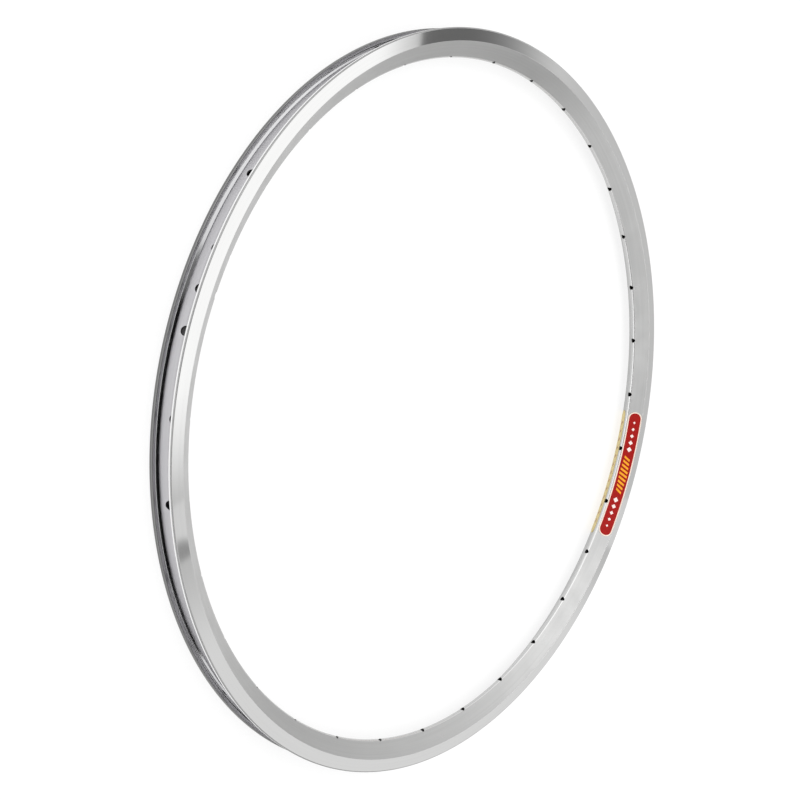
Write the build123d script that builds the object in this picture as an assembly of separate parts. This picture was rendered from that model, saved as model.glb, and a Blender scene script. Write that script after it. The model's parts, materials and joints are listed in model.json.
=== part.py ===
from build123d import *
import os
from math import asin, atan2, cos, degrees, hypot, radians, sin, tan

# A hollow, double-walled bicycle rim, extruded, rolled into a ring and drilled.
# It lies flat: the ring's axis is Z, its middle plane is Z = 0, and +X runs through the valve hole.
# All sizes are in millimetres, and all angles in degrees.

# Tyre seat
bead_seat_diameter = 622.0
flange_height = 6.0
rim_width = 24.0
inner_width = 17.6
hook_height = 2.7
flange_wall = 1.4
well_depth = 2.4
shelf_width = 2.4
well_floor_width = 3.0

# Brake tracks, sidewalls and spoke bed
rim_depth = 23.6
track_height = 10.7
track_step = 0.2
nose_radius = 2.4

# Rounding of the flanges' tips, each quarter turn of it drawn as a few straight chords
tip_round = 0.9
chords_per_quarter = 2

# Walls round the hollow
track_wall = 1.4
side_wall = 1.0
well_wall = 1.05
bed_wall = 2.0

# Drilling
spoke_count = 32
spoke_hole_diameter = 4.4
access_hole_diameter = 7.0
spoke_lean = 4.5
valve_hole_diameter = 6.5
drill_overrun = 4.0

# Stickers on the two sidewalls, opposite the valve hole
sticker_length = 135.0
sticker_width = 15.0
sticker_thickness = 0.2
glue_thickness = 0.3
sticker_end_flat = 0.6
sticker_angle = 180.5

# Radii and half widths that follow from these sizes
seat_radius = bead_seat_diameter / 2
outer_radius = seat_radius + flange_height
bed_radius = outer_radius - rim_depth
track_foot_radius = outer_radius - track_height
well_radius = seat_radius - well_depth
half_width = rim_width / 2
half_inner = inner_width / 2
half_flange = half_width - flange_wall
shelf_edge = half_flange - shelf_width

# The sidewall is a straight line in section, from the foot of the brake track to the rounded nose.
# sidewall_slope is its angle to the middle plane, and apex_radius is where it would meet that plane.
sidewall_top = (track_foot_radius, half_width - track_step)
nose_centre_radius = bed_radius + nose_radius
nose_run = track_foot_radius - nose_centre_radius
nose_reach = hypot(nose_run, sidewall_top[1])
sidewall_slope = atan2(sidewall_top[1], nose_run) - asin(nose_radius / nose_reach)
apex_radius = track_foot_radius - sidewall_top[1] / tan(sidewall_slope)
sidewall_length = (nose_reach**2 - nose_radius**2) ** 0.5


def mirrored(half):
    """A closed outline from its upper half, with any point on the middle plane taken once."""
    return half + [(r, -z) for r, z in reversed(half) if z > 0]


def quarter_round(centre, radius, start):
    """Points along a quarter turn, clockwise from the start angle, where 0 points away from the axis."""
    turns = [radians(start - 90 * step / chords_per_quarter) for step in range(chords_per_quarter + 1)]
    return [(centre[0] + radius * cos(turn), centre[1] + radius * sin(turn)) for turn in turns]


def outer_section():
    """The section's outside: rounded nose, sidewalls, brake tracks, hooked flanges and tyre well."""
    tip_radius = outer_radius - tip_round
    hook_foot = outer_radius - hook_height
    hook_overhang = half_flange - half_inner
    corners = mirrored([
        (apex_radius, 0),
        sidewall_top,
        (track_foot_radius, half_width),
        *quarter_round((tip_radius, half_width - tip_round), tip_round, 90),
        *quarter_round((tip_radius, half_inner + tip_round), tip_round, 0),
        (hook_foot, half_inner),
        (hook_foot - hook_overhang, half_flange),
        (seat_radius, half_flange),
        (seat_radius, shelf_edge),
        (well_radius, well_floor_width / 2),
    ])
    nose_only = [nose_radius] + [0] * (len(corners) - 1)
    return Plane.XZ * make_face(FilletPolyline(*corners, radius=nose_only, close=True))


def hollow_section():
    """The closed hollow between the well's floor and the spoke bed."""
    half_track = half_width - track_wall
    inner_bed = bed_radius + bed_wall
    inner_apex = apex_radius + side_wall / sin(sidewall_slope)
    shoulder_radius = inner_apex + half_track / tan(sidewall_slope)
    half_bed = (inner_bed - inner_apex) * tan(sidewall_slope)
    corners = mirrored([
        (inner_bed, half_bed),
        (shoulder_radius, half_track),
        (seat_radius - well_wall, half_track),
        (seat_radius - well_wall, shelf_edge),
        (well_radius - well_wall, well_floor_width / 2),
    ])
    return Plane.XZ * make_face(Polyline(*corners, close=True))


def radial_drill(diameter, start_radius, end_radius, angle, lean):
    """A drill along a line that leaves the middle plane at the spoke bed, leaning towards +Z."""
    bit = Cylinder(diameter / 2, end_radius - start_radius, align=(Align.CENTER, Align.CENTER, Align.MIN))
    along = Pos(bed_radius, 0, 0) * Rot(0, 90 - lean, 0) * Pos(0, 0, start_radius - bed_radius)
    return Rot(0, 0, angle) * along * bit


def spoke_drills():
    """Spoke holes in the bed, and wider holes in the well's floor for the nipples to go through."""
    hollow_middle = (bed_radius + well_radius) / 2
    drills = []
    for number in range(spoke_count):
        angle = (number + 0.5) * 360 / spoke_count
        lean = -spoke_lean if number % 2 == 0 else spoke_lean
        drills.append(
            radial_drill(spoke_hole_diameter, bed_radius - drill_overrun, hollow_middle, angle, lean)
        )
        drills.append(
            radial_drill(access_hole_diameter, hollow_middle, well_radius + drill_overrun, angle, lean)
        )
    return drills


def make_rim():
    """The drilled ring."""
    ring = revolve(outer_section() - hollow_section(), Axis.Z)
    valve_drill = radial_drill(
        valve_hole_diameter, bed_radius - drill_overrun, well_radius + drill_overrun, 0, 0
    )
    return ring - spoke_drills() - valve_drill


def make_sticker(side):
    """A thin, round-ended label on the sidewall above (side = 1) or below (side = -1) the middle plane."""
    margin = (sidewall_length - sticker_width) / 2
    down = (-cos(sidewall_slope), -sin(sidewall_slope))
    out = (-sin(sidewall_slope), cos(sidewall_slope))

    def on_wall(run, lift):
        r = sidewall_top[0] + run * down[0] + lift * out[0]
        z = sidewall_top[1] + run * down[1] + lift * out[1]
        return (r, side * z)

    top_lift = glue_thickness + sticker_thickness
    strip = make_face(Polyline(
        on_wall(margin, glue_thickness),
        on_wall(margin, top_lift),
        on_wall(margin + sticker_width, top_lift),
        on_wall(margin + sticker_width, glue_thickness),
        close=True,
    ))
    middle_radius = on_wall(sidewall_length / 2, 0)[0]
    span = degrees(sticker_length / middle_radius)
    label = Rot(0, 0, sticker_angle - span / 2) * revolve(Plane.XZ * strip, Axis.Z, revolution_arc=span)
    thin_edges = label.edges().filter_by(lambda edge: edge.length < 2 * sticker_thickness)
    return fillet(thin_edges, (sticker_width - sticker_end_flat) / 2)


os.makedirs("parts", exist_ok=True)
export_step(make_rim(), "parts/rim.step")
export_step(make_sticker(1), "parts/front_sticker.step")
export_step(make_sticker(-1), "parts/rear_sticker.step")
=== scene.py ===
import json
from math import acos, asin, atan2, cos, hypot, pi, radians, sin, sqrt, tan

import bmesh
import bpy
from mathutils import Matrix, Quaternion, Vector


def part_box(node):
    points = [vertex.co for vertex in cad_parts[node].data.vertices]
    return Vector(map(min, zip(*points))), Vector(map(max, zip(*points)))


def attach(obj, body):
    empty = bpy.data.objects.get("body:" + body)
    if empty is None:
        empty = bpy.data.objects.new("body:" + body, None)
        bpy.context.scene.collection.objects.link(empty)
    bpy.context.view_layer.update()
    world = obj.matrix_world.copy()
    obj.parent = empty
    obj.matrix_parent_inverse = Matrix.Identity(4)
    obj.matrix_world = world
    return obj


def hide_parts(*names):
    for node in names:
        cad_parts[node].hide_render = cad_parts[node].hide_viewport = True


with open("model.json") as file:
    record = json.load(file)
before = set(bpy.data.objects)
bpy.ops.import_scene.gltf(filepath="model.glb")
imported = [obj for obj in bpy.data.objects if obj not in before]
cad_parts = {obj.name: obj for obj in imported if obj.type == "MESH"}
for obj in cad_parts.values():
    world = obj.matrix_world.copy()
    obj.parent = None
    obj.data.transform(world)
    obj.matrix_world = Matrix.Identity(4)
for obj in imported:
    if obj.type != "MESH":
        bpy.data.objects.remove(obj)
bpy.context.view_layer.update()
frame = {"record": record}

# Everything is in metres, in the CAD model's frame: the ring's axis is Z, and +X runs through the valve hole.
mm = 0.001
mounts = {mount["name"]: mount for mount in frame["record"]["mounts"]}
_, rim_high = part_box("rim")

# Sizes read from the frame
outer_radius = rim_high.x
half_width = rim_high.z
seat_radius = mounts["tyre_seat"]["dims"]["r_mm"] * mm
half_inner = mounts["tyre_seat"]["dims"]["length_mm"] * mm / 2
bed_radius = mounts["spoke_circle"]["dims"]["pcd_mm"] * mm / 2
spoke_count = mounts["spoke_circle"]["dims"]["count"]
spoke_hole_radius = mounts["spoke_circle"]["dims"]["hole_r_mm"] * mm
valve_hole_radius = mounts["valve_hole"]["dims"]["r_mm"] * mm
spoke_lean = asin(mounts["spoke_hole_leaning_up"]["axis"][2])

# Sizes of the section that the frame doesn't state
hook_height = 2.7 * mm
flange_wall = 1.4 * mm
well_depth = 2.4 * mm
shelf_width = 2.4 * mm
well_floor_width = 3.0 * mm
track_height = 10.7 * mm
track_step = 0.2 * mm
nose_radius = 2.4 * mm
track_wall = 1.4 * mm
side_wall = 1.0 * mm
well_wall = 1.05 * mm
bed_wall = 2.0 * mm

# Drilling: the wider holes in the well's floor, how far the drills run out of the metal, and the gap that is
# left between the two drills of one line
access_hole_radius = 3.5 * mm
drill_overrun = 4.0 * mm
drill_gap = 1.0 * mm

# Rounding of the section's corners
tip_round = 0.9 * mm
hook_round = 0.8 * mm
well_round = 8.5 * mm
shelf_round = 3.0 * mm
step_round = 0.08 * mm
hollow_round = 0.8 * mm

# Distance from a rounding at which a flat face starts to be shaded as flat
hold = 0.15 * mm

# Strip of the flange's flat face, beside its outer rounding, that has the rounding's finish
bend_strip = 0.1 * mm

# Distance from the shelf's edge at which the groove's finish gives way to the well's
shelf_turn = 0.7 * mm

# Fineness of the ring's mesh, and the angle from which an edge stays crisp
ring_steps = 640
round_step = radians(18)
drill_sides = 40
crisp_angle = radians(32)

# Finishes of the ring's zones: colour, roughness, anisotropy, contrast of the streaks, width of the fine
# lines along the ring, and their relief as a share of that width. The flange tips are lit and shaded copies
# of one metal: on the front flange they are lighter, as painted highlight, and on the rear flange darker,
# as painted shade.
alloys = {
    "side": ((0.41, 0.41, 0.407), 0.32, 0.2, 0.05, 0.30 * mm, 0.003),
    "nose": ((0.57, 0.57, 0.567), 0.26, 0.2, 0.04, 0.25 * mm, 0.002),
    "track": ((0.87, 0.87, 0.865), 0.035, 0.0, 0.02, 0.22 * mm, 0.0002),
    # Darker copy of the flange tip's metal, used only on the rear flange: painted shade
    "shaded_lip": ((0.20, 0.20, 0.199), 0.30, 0.2, 0.06, 0.25 * mm, 0.001),
    # Front flange's outer rounding, lighter than the same rounding on the rear flange: painted light
    "bend": ((0.31, 0.31, 0.309), 0.28, 0.2, 0.05, 0.25 * mm, 0.002),
    # Front flange's flat face and inner rounding, near white: painted highlight
    "edge": ((0.90, 0.90, 0.90), 0.20, 0.0, 0.03, 0.25 * mm, 0.001),
    "well": ((0.52, 0.515, 0.532), 0.38, 0.0, 0.05, 0.35 * mm, 0.0006),
    "groove": ((0.62, 0.62, 0.625), 0.08, 0.0, 0.03, 0.35 * mm, 0.0001),
    "drilled": ((0.30, 0.30, 0.30), 0.35, 0.0, 0.10, 0.20 * mm, 0.004),
}
zones = list(alloys)

# Zones that give way to another one below the middle plane: the front flange tip's lighter copies give
# way to the darker copy on the rear flange, as painted shade
rear_shaded_zones = {"bend": "shaded_lip", "edge": "shaded_lip"}

# Unevenness of the metal: the share by which blotches change the roughness, and the values of the scuffs'
# noise where a scuff starts and where it is full
blotch_share = 0.15
scuff_start = 0.66
scuff_full = 0.80

# Part of a noise's range that is put to use
noise_low = 0.3
noise_high = 0.7

# Stickers, on the sides above and below the middle plane
front = 1
rear = -1
sticker_length = 135.0 * mm
sticker_width = 15.0 * mm
sticker_end_flat = 0.6 * mm
sticker_top = 0.5 * mm
sticker_angle = radians(180.5)
outline_width = 1.1 * mm
ink_lift = 0.02 * mm
column_step = 1.0 * mm
corner_steps = 10
weld_reach = 0.001 * mm
film_specular = 0.12
film_relief = 0.004 * mm

# Front label: bars to both sides of the middle one, then diamonds, all smaller towards the label's ends
front_bars_each_way = 4
front_bar_pitch = 4.4 * mm
front_bar_width = 2.3 * mm
front_bar_height = 9.2 * mm
front_bar_slant = 1.6 * mm
diamonds_each_way = 5
diamond_start = 27.5 * mm
diamond_pitch = 7.2 * mm
diamond_size = 5.6 * mm
size_loss = 0.7 * mm

# Rear label: bars to both sides of the middle one
rear_bars_each_way = 6
rear_bar_pitch = 9.0 * mm
rear_bar_width = 2.6 * mm
rear_bar_height = 5.0 * mm
rear_bar_slant = 1.2 * mm

# Fields of the surround: what it is, its azimuth and elevation, the angles from its middle where it is full
# and where it has faded out (degrees), and its brightness. Later fields cover earlier ones.
surround_fields = [
    ("pale wall in front", 15, 14, 25, 75, 1.70),
    ("high panel on the left", 290, 60, 8, 34, 2.00),
    ("high panel on the right", 95, 66, 12, 32, 1.85),
    ("grey ceiling", 0, 90, 13, 19, 0.62),
    ("grey wall behind", 188, 31, 4, 12, 0.58),
    ("grey wall behind", 201, 31.5, 4, 12, 0.58),
    ("shade beside the softbox", 176, 48, 4, 12, 0.42),
    ("gap under the softbox", 209.8, 40.2, 1.5, 6.5, 0.145),
    ("rim of the softbox", 214, 60, 19.45, 19.6, 0.68),
    ("softbox behind", 214, 60, 17.4, 19.5, 1.08),
    ("soft side of the softbox", 196, 57, 8, 16, 1.08),
    ("screen behind", 163, 33, 18.8, 19.0, 0.70),
    ("slit in the screen", 173.4, 47.8, 0.2, 0.9, 0.30),
    ("screen's dim edge", 163, 33, 16.4, 16.7, 0.55),
    ("screen's bright middle", 163, 33, 12, 16.5, 0.75),
    ("front softbox", 20, 17, 8, 16, 2.30),
    ("dim room beside the camera", -10, 51, 6, 12, 0.35),
    *[("dark room round the camera", azimuth, 49, 7, 12, 0.01) for azimuth in range(6, 84, 15)],
    *[("narrow end of the dark room", azimuth, 46.5, 2.5, 4, 0.03) for azimuth in range(92, 113, 4)],
]

# The rest of the surround brightens from a low direction to a high one, each given by its Z
low_direction = 0.1
low_brightness = 0.95
high_direction = 0.8
high_brightness = 1.42

# The floor is a light table: paper lit from above, with some light of its own from below
floor_radius = 8.0
floor_sides = 96
paper_white = 0.22
paper_cloud = 0.01
paper_relief = 0.02 * mm
table_glow = 0.78

# Radii and half widths that follow from these sizes
track_foot_radius = outer_radius - track_height
well_radius = seat_radius - well_depth
half_flange = half_width - flange_wall
shelf_edge = half_flange - shelf_width
hook_foot = outer_radius - hook_height

# The sidewall is a straight line in section, from the foot of the brake track to the rounded nose.
sidewall_top = (track_foot_radius, half_width - track_step)
nose_run = track_foot_radius - bed_radius - nose_radius
nose_reach = hypot(nose_run, sidewall_top[1])
sidewall_slope = atan2(sidewall_top[1], nose_run) - asin(nose_radius / nose_reach)
apex_radius = track_foot_radius - sidewall_top[1] / tan(sidewall_slope)
sidewall_length = sqrt(nose_reach**2 - nose_radius**2)

# Camera, fitted to the outer edges, the line under the brake track, the spoke holes and the well's holes
camera_location = Vector((0.81647, 0.10881, 0.63301))
camera_aim = Vector((0.09485, -0.02769, 0.0))
camera_roll = radians(99.843)
camera_lens_mm = 53.575
camera_shift_up = -0.0727


def rounded(corners):
    """A closed outline of (radius, height, zone) points.

    Each corner is a radius, a height, its rounding, the rounding's zone and the zone of what follows."""
    outline = []
    for index, (r, z, rounding, bend_zone, zone) in enumerate(corners):
        if rounding == 0:
            outline.append((r, z, zone))
            continue
        corner = Vector((r, z))
        before = (Vector(corners[index - 1][:2]) - corner).normalized()
        after = (Vector(corners[(index + 1) % len(corners)][:2]) - corner).normalized()
        half_angle = acos(max(-1.0, min(1.0, before.dot(after)))) / 2
        start = corner + before * rounding / tan(half_angle)
        centre = corner + (before + after).normalized() * rounding / sin(half_angle)
        turn = pi - 2 * half_angle
        side = 1 if before.x * after.y - before.y * after.x < 0 else -1
        steps = max(2, round(turn / round_step))
        for step in range(steps + 1):
            spoke = Matrix.Rotation(side * turn * step / steps, 2) @ (start - centre)
            outline.append((*(centre + spoke), zone if step == steps else bend_zone))
    return outline


def mirrored(half):
    """All corners of an outline from its upper half, in which a corner and what follows it share a zone."""
    upper = [(*corner, corner[3]) for corner in half]
    lower = []
    for index in reversed(range(len(half))):
        r, z, rounding, bend_zone = half[index]
        zone = half[index - 1][3]
        if z > 0:
            # Below the middle plane the flange tip's lighter finishes become the darker copy: painted shade
            zones_below = [rear_shaded_zones.get(name, name) for name in (bend_zone, zone)]
            lower.append((r, -z, rounding, *zones_below))
    return upper + lower


def outer_outline():
    """The section's outside: nose, sidewalls, brake tracks, hooked flanges and tyre well."""
    hook_overhang = half_flange - half_inner
    wall_end = sidewall_length - hold
    wall_foot_radius = track_foot_radius - wall_end * cos(sidewall_slope)
    wall_foot_height = sidewall_top[1] - wall_end * sin(sidewall_slope)
    return rounded(mirrored([
        (apex_radius, 0, nose_radius, "nose"),
        (wall_foot_radius, wall_foot_height, 0, "side"),
        (*sidewall_top, 0, "side"),
        (track_foot_radius, half_width, step_round, "track"),
        (track_foot_radius + step_round + hold, half_width, 0, "track"),
        (outer_radius - tip_round - hold, half_width, 0, "track"),
        # The front flange's tip gets lighter finishes as painted highlight; below the middle plane they turn
        # into painted shade
        (outer_radius, half_width, tip_round, "bend"),
        (outer_radius, half_width - tip_round - bend_strip, 0, "edge"),
        (outer_radius, half_inner, tip_round, "edge"),
        (outer_radius - tip_round - hold, half_inner, 0, "well"),
        (hook_foot, half_inner, hook_round, "groove"),
        (hook_foot - hook_overhang, half_flange, 0, "groove"),
        (seat_radius, half_flange, 0, "groove"),
        (seat_radius, shelf_edge + shelf_turn, 0, "well"),
        (seat_radius, shelf_edge, shelf_round, "well"),
        (well_radius, well_floor_width / 2, well_round, "well"),
    ]))


def hollow_outline():
    """The closed hollow between the well's floor and the spoke bed."""
    half_track = half_width - track_wall
    inner_bed = bed_radius + bed_wall
    inner_apex = apex_radius + side_wall / sin(sidewall_slope)
    shoulder_radius = inner_apex + half_track / tan(sidewall_slope)
    half_bed = (inner_bed - inner_apex) * tan(sidewall_slope)
    return rounded(mirrored([
        (inner_bed, half_bed, hollow_round, "drilled"),
        (shoulder_radius, half_track, hollow_round, "drilled"),
        (seat_radius - well_wall, half_track, hollow_round, "drilled"),
        (seat_radius - well_wall, shelf_edge, 0, "drilled"),
        (well_radius - well_wall, well_floor_width / 2, 0, "drilled"),
    ]))


def revolve_into(mesh, outline, facing):
    """Sweeps an outline round Z. Facing is 1 for an outer skin and -1 for the wall of a hollow."""
    rings = []
    for step in range(ring_steps):
        turn = 2 * pi * step / ring_steps
        rings.append([mesh.verts.new((r * cos(turn), r * sin(turn), z)) for r, z, _ in outline])
    for step in range(ring_steps):
        here, there = rings[step], rings[(step + 1) % ring_steps]
        for index, (_, _, zone) in enumerate(outline):
            onward = (index + 1) % len(outline)
            corners = [here[index], here[onward], there[onward], there[index]]
            face = mesh.faces.new(corners if facing > 0 else corners[::-1])
            face.material_index = zones.index(zone)


def drill_into(mesh, radius, start_radius, end_radius, angle, lean):
    """A drill along a line that leaves the middle plane at the spoke bed, leaning towards +Z."""
    length = end_radius - start_radius
    along = Matrix.Translation((bed_radius, 0, 0)) @ Matrix.Rotation(pi / 2 - lean, 4, "Y")
    middle = Matrix.Translation((0, 0, (start_radius + end_radius) / 2 - bed_radius))
    place = Matrix.Rotation(angle, 4, "Z") @ along @ middle
    made = bmesh.ops.create_cone(
        mesh, cap_ends=True, segments=drill_sides, radius1=radius, radius2=radius, depth=length, matrix=place
    )
    for face in {face for vert in made["verts"] for face in vert.link_faces}:
        face.material_index = zones.index("drilled")


def object_from(mesh, name, materials):
    """A new object from a bmesh, which is freed."""
    data = bpy.data.meshes.new(name)
    mesh.to_mesh(data)
    mesh.free()
    for material in materials:
        data.materials.append(material)
    made = bpy.data.objects.new(name, data)
    bpy.context.scene.collection.objects.link(made)
    return made


def make_drills(materials):
    """All the drills, as one object that is cut from the ring."""
    mesh = bmesh.new()
    hollow_middle = (bed_radius + well_radius) / 2
    inner_end, outer_end = bed_radius - drill_overrun, well_radius + drill_overrun
    for number in range(spoke_count):
        angle = (number + 0.5) * 2 * pi / spoke_count
        lean = -spoke_lean if number % 2 == 0 else spoke_lean
        drill_into(mesh, spoke_hole_radius, inner_end, hollow_middle - drill_gap, angle, lean)
        drill_into(mesh, access_hole_radius, hollow_middle, outer_end, angle, lean)
    drill_into(mesh, valve_hole_radius, inner_end, outer_end, angle=0, lean=0)
    return object_from(mesh, "drills", materials)


def cut(target, cutter):
    """Takes one object's volume out of another and deletes the cutter."""
    boolean = target.modifiers.new("drilling", "BOOLEAN")
    boolean.operation = "DIFFERENCE"
    boolean.solver = "EXACT"
    boolean.object = cutter
    shaped = target.evaluated_get(bpy.context.evaluated_depsgraph_get())
    target.modifiers.clear()
    target.data = bpy.data.meshes.new_from_object(shaped)
    bpy.data.objects.remove(cutter)


def smooth(target):
    """Smooth shading, with sharp edges left crisp."""
    mesh = bmesh.new()
    mesh.from_mesh(target.data)
    for face in mesh.faces:
        face.smooth = True
    for edge in mesh.edges:
        edge.smooth = edge.calc_face_angle(0) < crisp_angle
    mesh.to_mesh(target.data)
    mesh.free()


def make_ring(materials):
    """The rim's ring, swept finely and drilled."""
    mesh = bmesh.new()
    revolve_into(mesh, outer_outline(), facing=1)
    revolve_into(mesh, hollow_outline(), facing=-1)
    ring = object_from(mesh, "rim_ring", materials)
    cut(ring, make_drills(materials))
    smooth(ring)
    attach(ring, "root")
    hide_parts("rim")


def add_node(tree, kind, inputs, **settings):
    """A node with its settings, and each input set to a value or linked to another node's output."""
    made = tree.nodes.new("ShaderNode" + kind)
    for name, value in settings.items():
        setattr(made, name, value)
    for key, value in inputs.items():
        if isinstance(value, bpy.types.NodeSocket):
            tree.links.new(value, made.inputs[key])
        else:
            made.inputs[key].default_value = value
    return made


def new_material(name):
    """A material with its node tree and its Principled shader."""
    material = bpy.data.materials.new(name)
    material.use_nodes = True
    return material, material.node_tree, material.node_tree.nodes["Principled BSDF"]


def ring_place(tree, along, across):
    """A place that changes slowly along the ring and quickly across its section, with no seam."""
    place = add_node(tree, "TexCoord", {}).outputs["Object"]
    flat = add_node(tree, "VectorMath", {0: place, 1: (1, 1, 0)}, operation="MULTIPLY").outputs["Vector"]
    outward = add_node(tree, "VectorMath", {0: flat}, operation="NORMALIZE").outputs["Vector"]
    swing = add_node(tree, "VectorMath", {0: outward, "Scale": along}, operation="SCALE").outputs["Vector"]
    radius = add_node(tree, "VectorMath", {0: flat}, operation="LENGTH").outputs["Value"]
    height = add_node(tree, "SeparateXYZ", {0: place}).outputs["Z"]
    rise = add_node(tree, "Math", {0: height}, operation="ABSOLUTE").outputs[0]
    depth = add_node(tree, "Math", {0: radius, 1: rise}, operation="ADD").outputs[0]
    line = add_node(tree, "Math", {0: depth, 1: across}, operation="MULTIPLY").outputs[0]
    lift = add_node(tree, "CombineXYZ", {"Z": line}).outputs["Vector"]
    return add_node(tree, "VectorMath", {0: swing, 1: lift}, operation="ADD").outputs["Vector"]


def noise(tree, place, scale, detail):
    """Soft noise about one half."""
    return add_node(tree, "TexNoise", {"Vector": place, "Scale": scale, "Detail": detail}).outputs["Fac"]


def spread(tree, factor, low, high):
    """The middle of a noise's range, stretched between two values."""
    ends = {"Value": factor, "From Min": noise_low, "From Max": noise_high, "To Min": low, "To Max": high}
    return add_node(tree, "MapRange", ends).outputs["Result"]


def blend(tree, factor, first, second):
    """A colour between two others, through the Mix node's sockets for colours."""
    ends = {0: factor, 6: (*first, 1), 7: (*second, 1)}
    return add_node(tree, "Mix", ends, data_type="RGBA").outputs[2]


def bumped(tree, shader, height, depth):
    """Fine relief of the given depth on a shader."""
    bump = add_node(tree, "Bump", {"Height": height, "Strength": 1.0, "Distance": depth})
    tree.links.new(bump.outputs["Normal"], shader.inputs["Normal"])


def shaded(colour, share):
    """A colour made darker or lighter by a share."""
    return tuple(channel * share for channel in colour)


def alloy(name, colour, roughness, anisotropy, contrast, line_width, relief):
    """Aluminium with fine lines along the ring, faint blotches and small scuffs."""
    material, tree, shader = new_material(name)
    place = add_node(tree, "TexCoord", {}).outputs["Object"]
    fine = noise(tree, ring_place(tree, along=6.0, across=1 / line_width), scale=1.0, detail=3.0)
    bands = noise(tree, ring_place(tree, along=2.0, across=0.16 / line_width), scale=1.0, detail=2.0)
    blotches = noise(tree, place, scale=45.0, detail=3.0)
    scuffs = noise(tree, ring_place(tree, along=90.0, across=600.0), scale=1.0, detail=2.0)

    streaks = spread(tree, bands, 0.0, 1.0)
    tint = blend(tree, streaks, shaded(colour, 1 - contrast), shaded(colour, 1 + contrast / 2))
    tree.links.new(tint, shader.inputs["Base Color"])
    satin = spread(tree, blotches, roughness * (1 - blotch_share), roughness * (1 + blotch_share))
    ends = {"From Min": scuff_start, "From Max": scuff_full, "To Min": 0.0, "To Max": roughness / 4}
    scuffed = add_node(tree, "MapRange", {"Value": scuffs, **ends}).outputs["Result"]
    dulled = add_node(tree, "Math", {0: satin, 1: scuffed}, operation="ADD").outputs[0]
    tree.links.new(dulled, shader.inputs["Roughness"])
    bumped(tree, shader, fine, line_width * relief)

    shader.inputs["Metallic"].default_value = 1
    shader.inputs["Anisotropic"].default_value = anisotropy
    tangent = add_node(tree, "Tangent", {}, direction_type="RADIAL", axis="Z")
    tree.links.new(tangent.outputs["Tangent"], shader.inputs["Tangent"])
    return material


def film(name, colour):
    """Glossy printed film with a faint grain."""
    material, tree, shader = new_material(name)
    place = add_node(tree, "TexCoord", {}).outputs["Object"]
    grain = noise(tree, place, scale=1400.0, detail=2.0)
    cloud = noise(tree, place, scale=130.0, detail=3.0)
    tint = blend(tree, spread(tree, cloud, 0.0, 1.0), shaded(colour, 0.94), shaded(colour, 1.03))
    tree.links.new(tint, shader.inputs["Base Color"])
    tree.links.new(spread(tree, grain, low=0.3, high=0.4), shader.inputs["Roughness"])
    bumped(tree, shader, grain, film_relief)
    shader.inputs["Specular IOR Level"].default_value = film_specular
    return material


def on_sidewall(side, along, across, lift):
    """A point over a sidewall, so far along the ring and towards the nose from the sticker's middle."""
    middle_radius = sidewall_top[0] - sidewall_length / 2 * cos(sidewall_slope)
    run = sidewall_length / 2 + across
    r = sidewall_top[0] - run * cos(sidewall_slope) - lift * sin(sidewall_slope)
    z = sidewall_top[1] - run * sin(sidewall_slope) + lift * cos(sidewall_slope)
    turn = sticker_angle + along / middle_radius
    return (r * cos(turn), r * sin(turn), side * z)


def rounded_columns(inset):
    """Places along the sticker's rounded outline, less an inset, with the half width at each."""
    half_length, half_height = sticker_length / 2 - inset, sticker_width / 2 - inset
    corner = (sticker_width - sticker_end_flat) / 2 - inset
    straight = half_length - corner
    end = []
    for step in range(corner_steps + 1):
        turn = pi / 2 * step / corner_steps
        end.append((straight + corner * sin(turn), half_height - corner * (1 - cos(turn))))
    count = round(2 * straight / column_step)
    middle = [(straight * (2 * step / count - 1), half_height) for step in range(1, count)]
    return [(-along, half) for along, half in reversed(end)] + middle + end


def shape_into(mesh, side, corners, lift, finish):
    """A flat shape on a sidewall from (along, across) corners, counter-clockwise seen from outside."""
    ordered = corners if side > 0 else corners[::-1]
    face = mesh.faces.new([mesh.verts.new(on_sidewall(side, *corner, lift)) for corner in ordered])
    face.material_index = finish


def field_into(mesh, side, inset, lift, finish):
    """A rounded field of colour over the whole sticker, less an inset."""
    columns = rounded_columns(inset)
    for (here, half_here), (there, half_there) in zip(columns, columns[1:]):
        corners = [(here, -half_here), (there, -half_there), (there, half_there), (here, half_here)]
        shape_into(mesh, side, corners, lift, finish)
    bmesh.ops.remove_doubles(mesh, verts=mesh.verts, dist=weld_reach)


def edge_into(mesh, side, finish):
    """The sticker's thin edge, from its face down to the wall."""
    columns = rounded_columns(inset=0)
    track_side = [(along, -half) for along, half in columns]
    nose_side = [(along, half) for along, half in reversed(columns)]
    outline = track_side + nose_side
    for index, here in enumerate(outline):
        there = outline[(index + 1) % len(outline)]
        low_here, low_there = on_sidewall(side, *here, 0), on_sidewall(side, *there, 0)
        top_here, top_there = on_sidewall(side, *here, sticker_top), on_sidewall(side, *there, sticker_top)
        corners = [low_here, low_there, top_there, top_here]
        face = mesh.faces.new([mesh.verts.new(c) for c in (corners if side > 0 else corners[::-1])])
        face.material_index = finish
    bmesh.ops.remove_doubles(mesh, verts=mesh.verts, dist=weld_reach)


def slanted_bar(middle, width, height, slant):
    """Corners of an upright bar whose ends are shifted along the ring."""
    half_along, half_height = width / 2, height / 2
    return [
        (middle - half_along - slant, -half_height),
        (middle + half_along - slant, -half_height),
        (middle + half_along + slant, half_height),
        (middle - half_along + slant, half_height),
    ]


def diamond(middle, size):
    """Corners of a diamond."""
    return [(middle - size / 2, 0), (middle, -size / 2), (middle + size / 2, 0), (middle, size / 2)]


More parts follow.
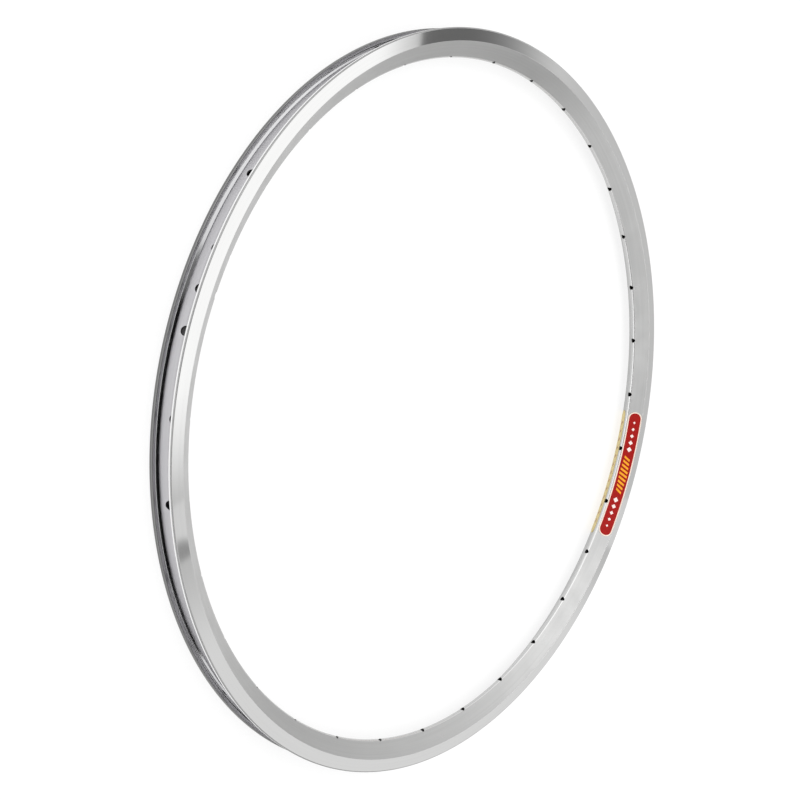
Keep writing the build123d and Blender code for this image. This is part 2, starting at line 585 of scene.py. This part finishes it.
def make_front_label(materials):
    """The red label, with a pale outline, slanted bars in its middle and rows of diamonds beside them."""
    cream, red, orange, white = range(len(materials))
    ink_top = sticker_top + 2 * ink_lift
    mesh = bmesh.new()
    field_into(mesh, front, 0, sticker_top, cream)
    edge_into(mesh, front, cream)
    field_into(mesh, front, outline_width, sticker_top + ink_lift, red)
    for number in range(-front_bars_each_way, front_bars_each_way + 1):
        height = front_bar_height - size_loss * abs(number)
        bar = slanted_bar(number * front_bar_pitch, front_bar_width, height, front_bar_slant)
        shape_into(mesh, front, bar, ink_top, orange)
    for number in range(diamonds_each_way):
        for way in (-1, 1):
            middle = way * (diamond_start + diamond_pitch * number)
            spot = diamond(middle, diamond_size - size_loss * number)
            shape_into(mesh, front, spot, ink_top, white)
    finish_label(mesh, "front_label", materials, "front_sticker")


def make_rear_label(materials):
    """The yellow label, with a row of small slanted bars."""
    yellow, dark_red = range(len(materials))
    mesh = bmesh.new()
    field_into(mesh, rear, 0, sticker_top, yellow)
    edge_into(mesh, rear, yellow)
    for number in range(-rear_bars_each_way, rear_bars_each_way + 1):
        bar = slanted_bar(number * rear_bar_pitch, rear_bar_width, rear_bar_height, rear_bar_slant)
        shape_into(mesh, rear, bar, sticker_top + ink_lift, dark_red)
    finish_label(mesh, "rear_label", materials, "rear_sticker")


def finish_label(mesh, name, materials, node):
    """Turns a label's mesh into a piece that stands for its sticker."""
    label = object_from(mesh, name, materials)
    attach(label, "root")
    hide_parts(node)


def make_floor():
    """The plain pale floor under the ring."""
    mesh = bmesh.new()
    bmesh.ops.create_circle(mesh, cap_ends=True, segments=floor_sides, radius=floor_radius)
    material, tree, shader = new_material("floor_paper")
    place = add_node(tree, "TexCoord", {}).outputs["Object"]
    pulp = noise(tree, place, scale=9.0, detail=6.0)
    darkest, lightest = [paper_white - paper_cloud] * 3, [paper_white + paper_cloud] * 3
    tint = blend(tree, spread(tree, pulp, 0.0, 1.0), darkest, lightest)
    tree.links.new(tint, shader.inputs["Base Color"])
    shader.inputs["Emission Color"].default_value = (1, 1, 1, 1)
    shader.inputs["Emission Strength"].default_value = table_glow
    tree.links.new(spread(tree, pulp, low=0.8, high=0.95), shader.inputs["Roughness"])
    bumped(tree, shader, noise(tree, place, scale=900.0, detail=2.0), paper_relief)
    floor = object_from(mesh, "floor", [material])
    floor.location.z = -half_width


def heading(azimuth, elevation):
    """A direction from its angles in degrees."""
    turn, rise = radians(azimuth), radians(elevation)
    return (cos(turn) * cos(rise), sin(turn) * cos(rise), sin(rise))


def make_world():
    """A pale surround, brighter overhead, with the bright and dark fields that the metal mirrors."""
    world = bpy.data.worlds.new("studio")
    bpy.context.scene.world = world
    world.use_nodes = True
    tree = world.node_tree
    place = add_node(tree, "TexCoord", {}).outputs["Generated"]
    height = add_node(tree, "SeparateXYZ", {0: place}).outputs["Z"]
    heights = {"Value": height, "From Min": low_direction, "From Max": high_direction}
    level = add_node(
        tree, "MapRange", {**heights, "To Min": low_brightness, "To Max": high_brightness}
    ).outputs["Result"]
    for _, azimuth, elevation, full, faded, brightness in surround_fields:
        nearness = add_node(
            tree, "VectorMath", {0: place, 1: heading(azimuth, elevation)}, operation="DOT_PRODUCT"
        ).outputs["Value"]
        limits = {"Value": nearness, "From Min": cos(radians(faded)), "From Max": cos(radians(full))}
        share = add_node(tree, "MapRange", limits, interpolation_type="SMOOTHSTEP").outputs["Result"]
        level = add_node(tree, "Mix", {0: share, 2: level, 3: brightness}, data_type="FLOAT").outputs[0]
    tree.links.new(level, tree.nodes["Background"].inputs["Color"])


def make_camera():
    """The camera at the photo's viewing angle."""
    camera = bpy.data.objects.new("camera", bpy.data.cameras.new("camera"))
    camera.data.lens = camera_lens_mm
    camera.data.shift_y = camera_shift_up
    camera.location = camera_location
    camera.rotation_mode = "QUATERNION"
    look = (camera_aim - camera_location).normalized()
    camera.rotation_quaternion = look.to_track_quat("-Z", "Y") @ Quaternion((0, 0, 1), camera_roll)
    bpy.context.scene.collection.objects.link(camera)
    bpy.context.scene.camera = camera


bpy.context.scene.view_settings.view_transform = "Standard"
make_ring([alloy(f"{zone}_alloy", *look) for zone, look in alloys.items()])
make_front_label([
    film("label_cream", (0.80, 0.66, 0.56)),
    film("label_red", (0.31, 0.006, 0.004)),
    film("label_orange", (0.80, 0.34, 0.02)),
    film("label_white", (0.83, 0.70, 0.66)),
])
make_rear_label([
    film("label_yellow", (0.60, 0.48, 0.19)),
    film("label_dark_red", (0.24, 0.03, 0.03)),
])
make_floor()
make_world()
make_camera()
